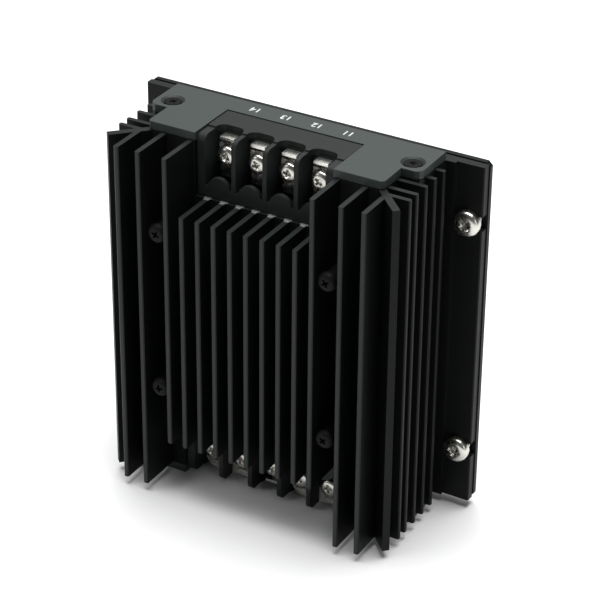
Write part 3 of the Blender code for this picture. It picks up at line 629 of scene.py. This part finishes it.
dress(spring, steel, "module", "spring_steel", "latch_spring")
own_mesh(spring)

# ---- Converter module and its thermal pad ----
# The potted power module: a black case with a fine matt moulding texture, pressed against the
# front wall through a grey gap pad. Its pins go through the board.
case = Finish("module_case", IOR=1.5)
stipple = case.place.noise(3200.0, detail=2.0, rough=0.5)
case.feed("Base Color", stipple.colours(grey(0.025), grey(0.04)))
case.feed("Roughness", 0.55 + 0.15 * stipple)
case.bump(stipple, depth=0.00004, strength=0.5)
softened("converter_module", 0.3, case, "module", "module_black")
pad = Finish("gap_pad", IOR=1.4)
weave = pad.place.noise(1500.0, detail=3.0, rough=0.6)
pad.feed("Base Color", weave.colours(grey(0.30, 1.02, 1.08), grey(0.40, 1.02, 1.08)))
pad.feed("Roughness", 0.75 + 0.15 * weave)
pad.bump(weave, depth=0.00003, strength=0.5)
softened("thermal_pad", 0.08, pad, "module", "pad_grey")

# ---- Circuit board, filter parts and insulating film ----
# A green glass-epoxy board carries the terminals' tails, a capacitor at each end and a choke.
# An amber film keeps its solder side off the housing's back wall.
board = Finish("solder_mask", IOR=1.5, Coat_Weight=0.4)
cloth = board.place.noise(900.0, detail=3.0, rough=0.5)
lengthwise = 1.0 - board.place.axis("X").folded(2.6 * MM).rise(0.4 * MM, 0.6 * MM)
broken = board.place.axis("Z").folded(4.1 * MM).rise(0.8 * MM, 1.0 * MM)
patches = board.place.noise(60.0, detail=1.0).rise(0.45, 0.5)
track = lengthwise * broken * patches
mask = cloth.colours((0.012, 0.085, 0.034, 1.0), (0.018, 0.115, 0.045, 1.0))
board.feed("Base Color", (track * 0.7).colours(mask, (0.06, 0.22, 0.08, 1.0)))
board.feed("Roughness", 0.32 + 0.12 * cloth)
board.bump(track, depth=0.00003, strength=0.5)
softened("circuit_board", 0.10, board, "module", "board_green")
sleeve = Finish("capacitor_sleeve", IOR=1.5)
around = sleeve.place.noise(500.0, detail=2.0, rough=0.5)
can_top = (sleeve.normal.axis("Y") * -1.0).rise(0.7, 0.9)
tone = around.colours((0.012, 0.022, 0.07, 1.0), (0.018, 0.030, 0.09, 1.0))
sleeve.feed("Base Color", can_top.colours(tone, grey(0.55)))
sleeve.feed("Metallic", can_top)
sleeve.feed("Roughness", 0.28 + 0.10 * around)
for capacitor in ("input_capacitor", "output_capacitor"):
    softened(capacitor, 0.35, sleeve, "module", "sleeve_blue", segments=3)
film = Finish("polyimide_film", IOR=1.6)
ripple = film.place.noise(90.0, detail=2.0, rough=0.5)
film.feed("Base Color", ripple.colours((0.42, 0.20, 0.03, 1.0), (0.52, 0.27, 0.05, 1.0)))
film.feed("Roughness", 0.22 + 0.12 * ripple)
film.bump(ripple, depth=0.0001, strength=0.3)
softened("insulating_film", 0.06, film, "module", "film_amber")

# ---- Filter choke ----
# Enamelled copper wire wound by hand in one layer on a small ferrite ring, standing flat on the
# board.
choke_low, choke_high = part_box("filter_choke")
hub = (choke_low + choke_high) / 2
RING_RADIUS = 3.4 * MM
CORE_RADIUS = 1.08 * MM
ENAMEL_RADIUS = 0.24 * MM
LOOP_RADIUS = CORE_RADIUS + ENAMEL_RADIUS + 0.03 * MM
TURNS = 22
bpy.ops.object.select_all(action="DESELECT")
bpy.ops.mesh.primitive_torus_add(
    major_segments=64, minor_segments=20, major_radius=RING_RADIUS, minor_radius=CORE_RADIUS,
    location=hub, rotation=(math.pi / 2, 0, 0),
)
core = bpy.context.active_object
core.name = "choke_core"
bpy.ops.object.transform_apply(location=True, rotation=True, scale=True)
bpy.ops.object.shade_smooth_by_angle(angle=math.radians(60))
ferrite = Finish("ferrite")
grit = ferrite.place.noise(2500.0, detail=3.0, rough=0.6)
ferrite.feed("Base Color", grit.colours(grey(0.04), grey(0.07)))
ferrite.feed("Roughness", 0.6 + 0.2 * grit)
dress(core, ferrite, "module", "copper_winding")
loops = []
for index in range(TURNS):
    angle = 2 * math.pi * (index + 0.5) / (TURNS + 2)
    place = hub + mathutils.Vector((math.cos(angle), 0, math.sin(angle))) * RING_RADIUS
    bpy.ops.object.select_all(action="DESELECT")
    bpy.ops.mesh.primitive_torus_add(
        major_segments=28, minor_segments=10, major_radius=LOOP_RADIUS,
        minor_radius=ENAMEL_RADIUS, location=place, rotation=(0, -angle, 0),
    )
    loops.append(bpy.context.active_object)
bpy.ops.object.select_all(action="DESELECT")
for loop in loops:
    loop.select_set(True)
bpy.context.view_layer.objects.active = loops[0]
bpy.ops.object.transform_apply(location=True, rotation=True, scale=True)
bpy.ops.object.join()
winding = bpy.context.active_object
winding.name = "choke_winding"
bpy.ops.object.shade_smooth_by_angle(angle=math.radians(60))
enamel = Finish("copper_enamel", Metallic=0.9, Coat_Weight=0.6)
blush = enamel.place.noise(700.0, detail=2.0, rough=0.5)
enamel.feed("Base Color", blush.colours((0.42, 0.13, 0.05, 1.0), (0.58, 0.21, 0.08, 1.0)))
enamel.feed("Roughness", 0.25 + 0.1 * blush)
dress(winding, enamel, "module", "copper_winding", "filter_choke")
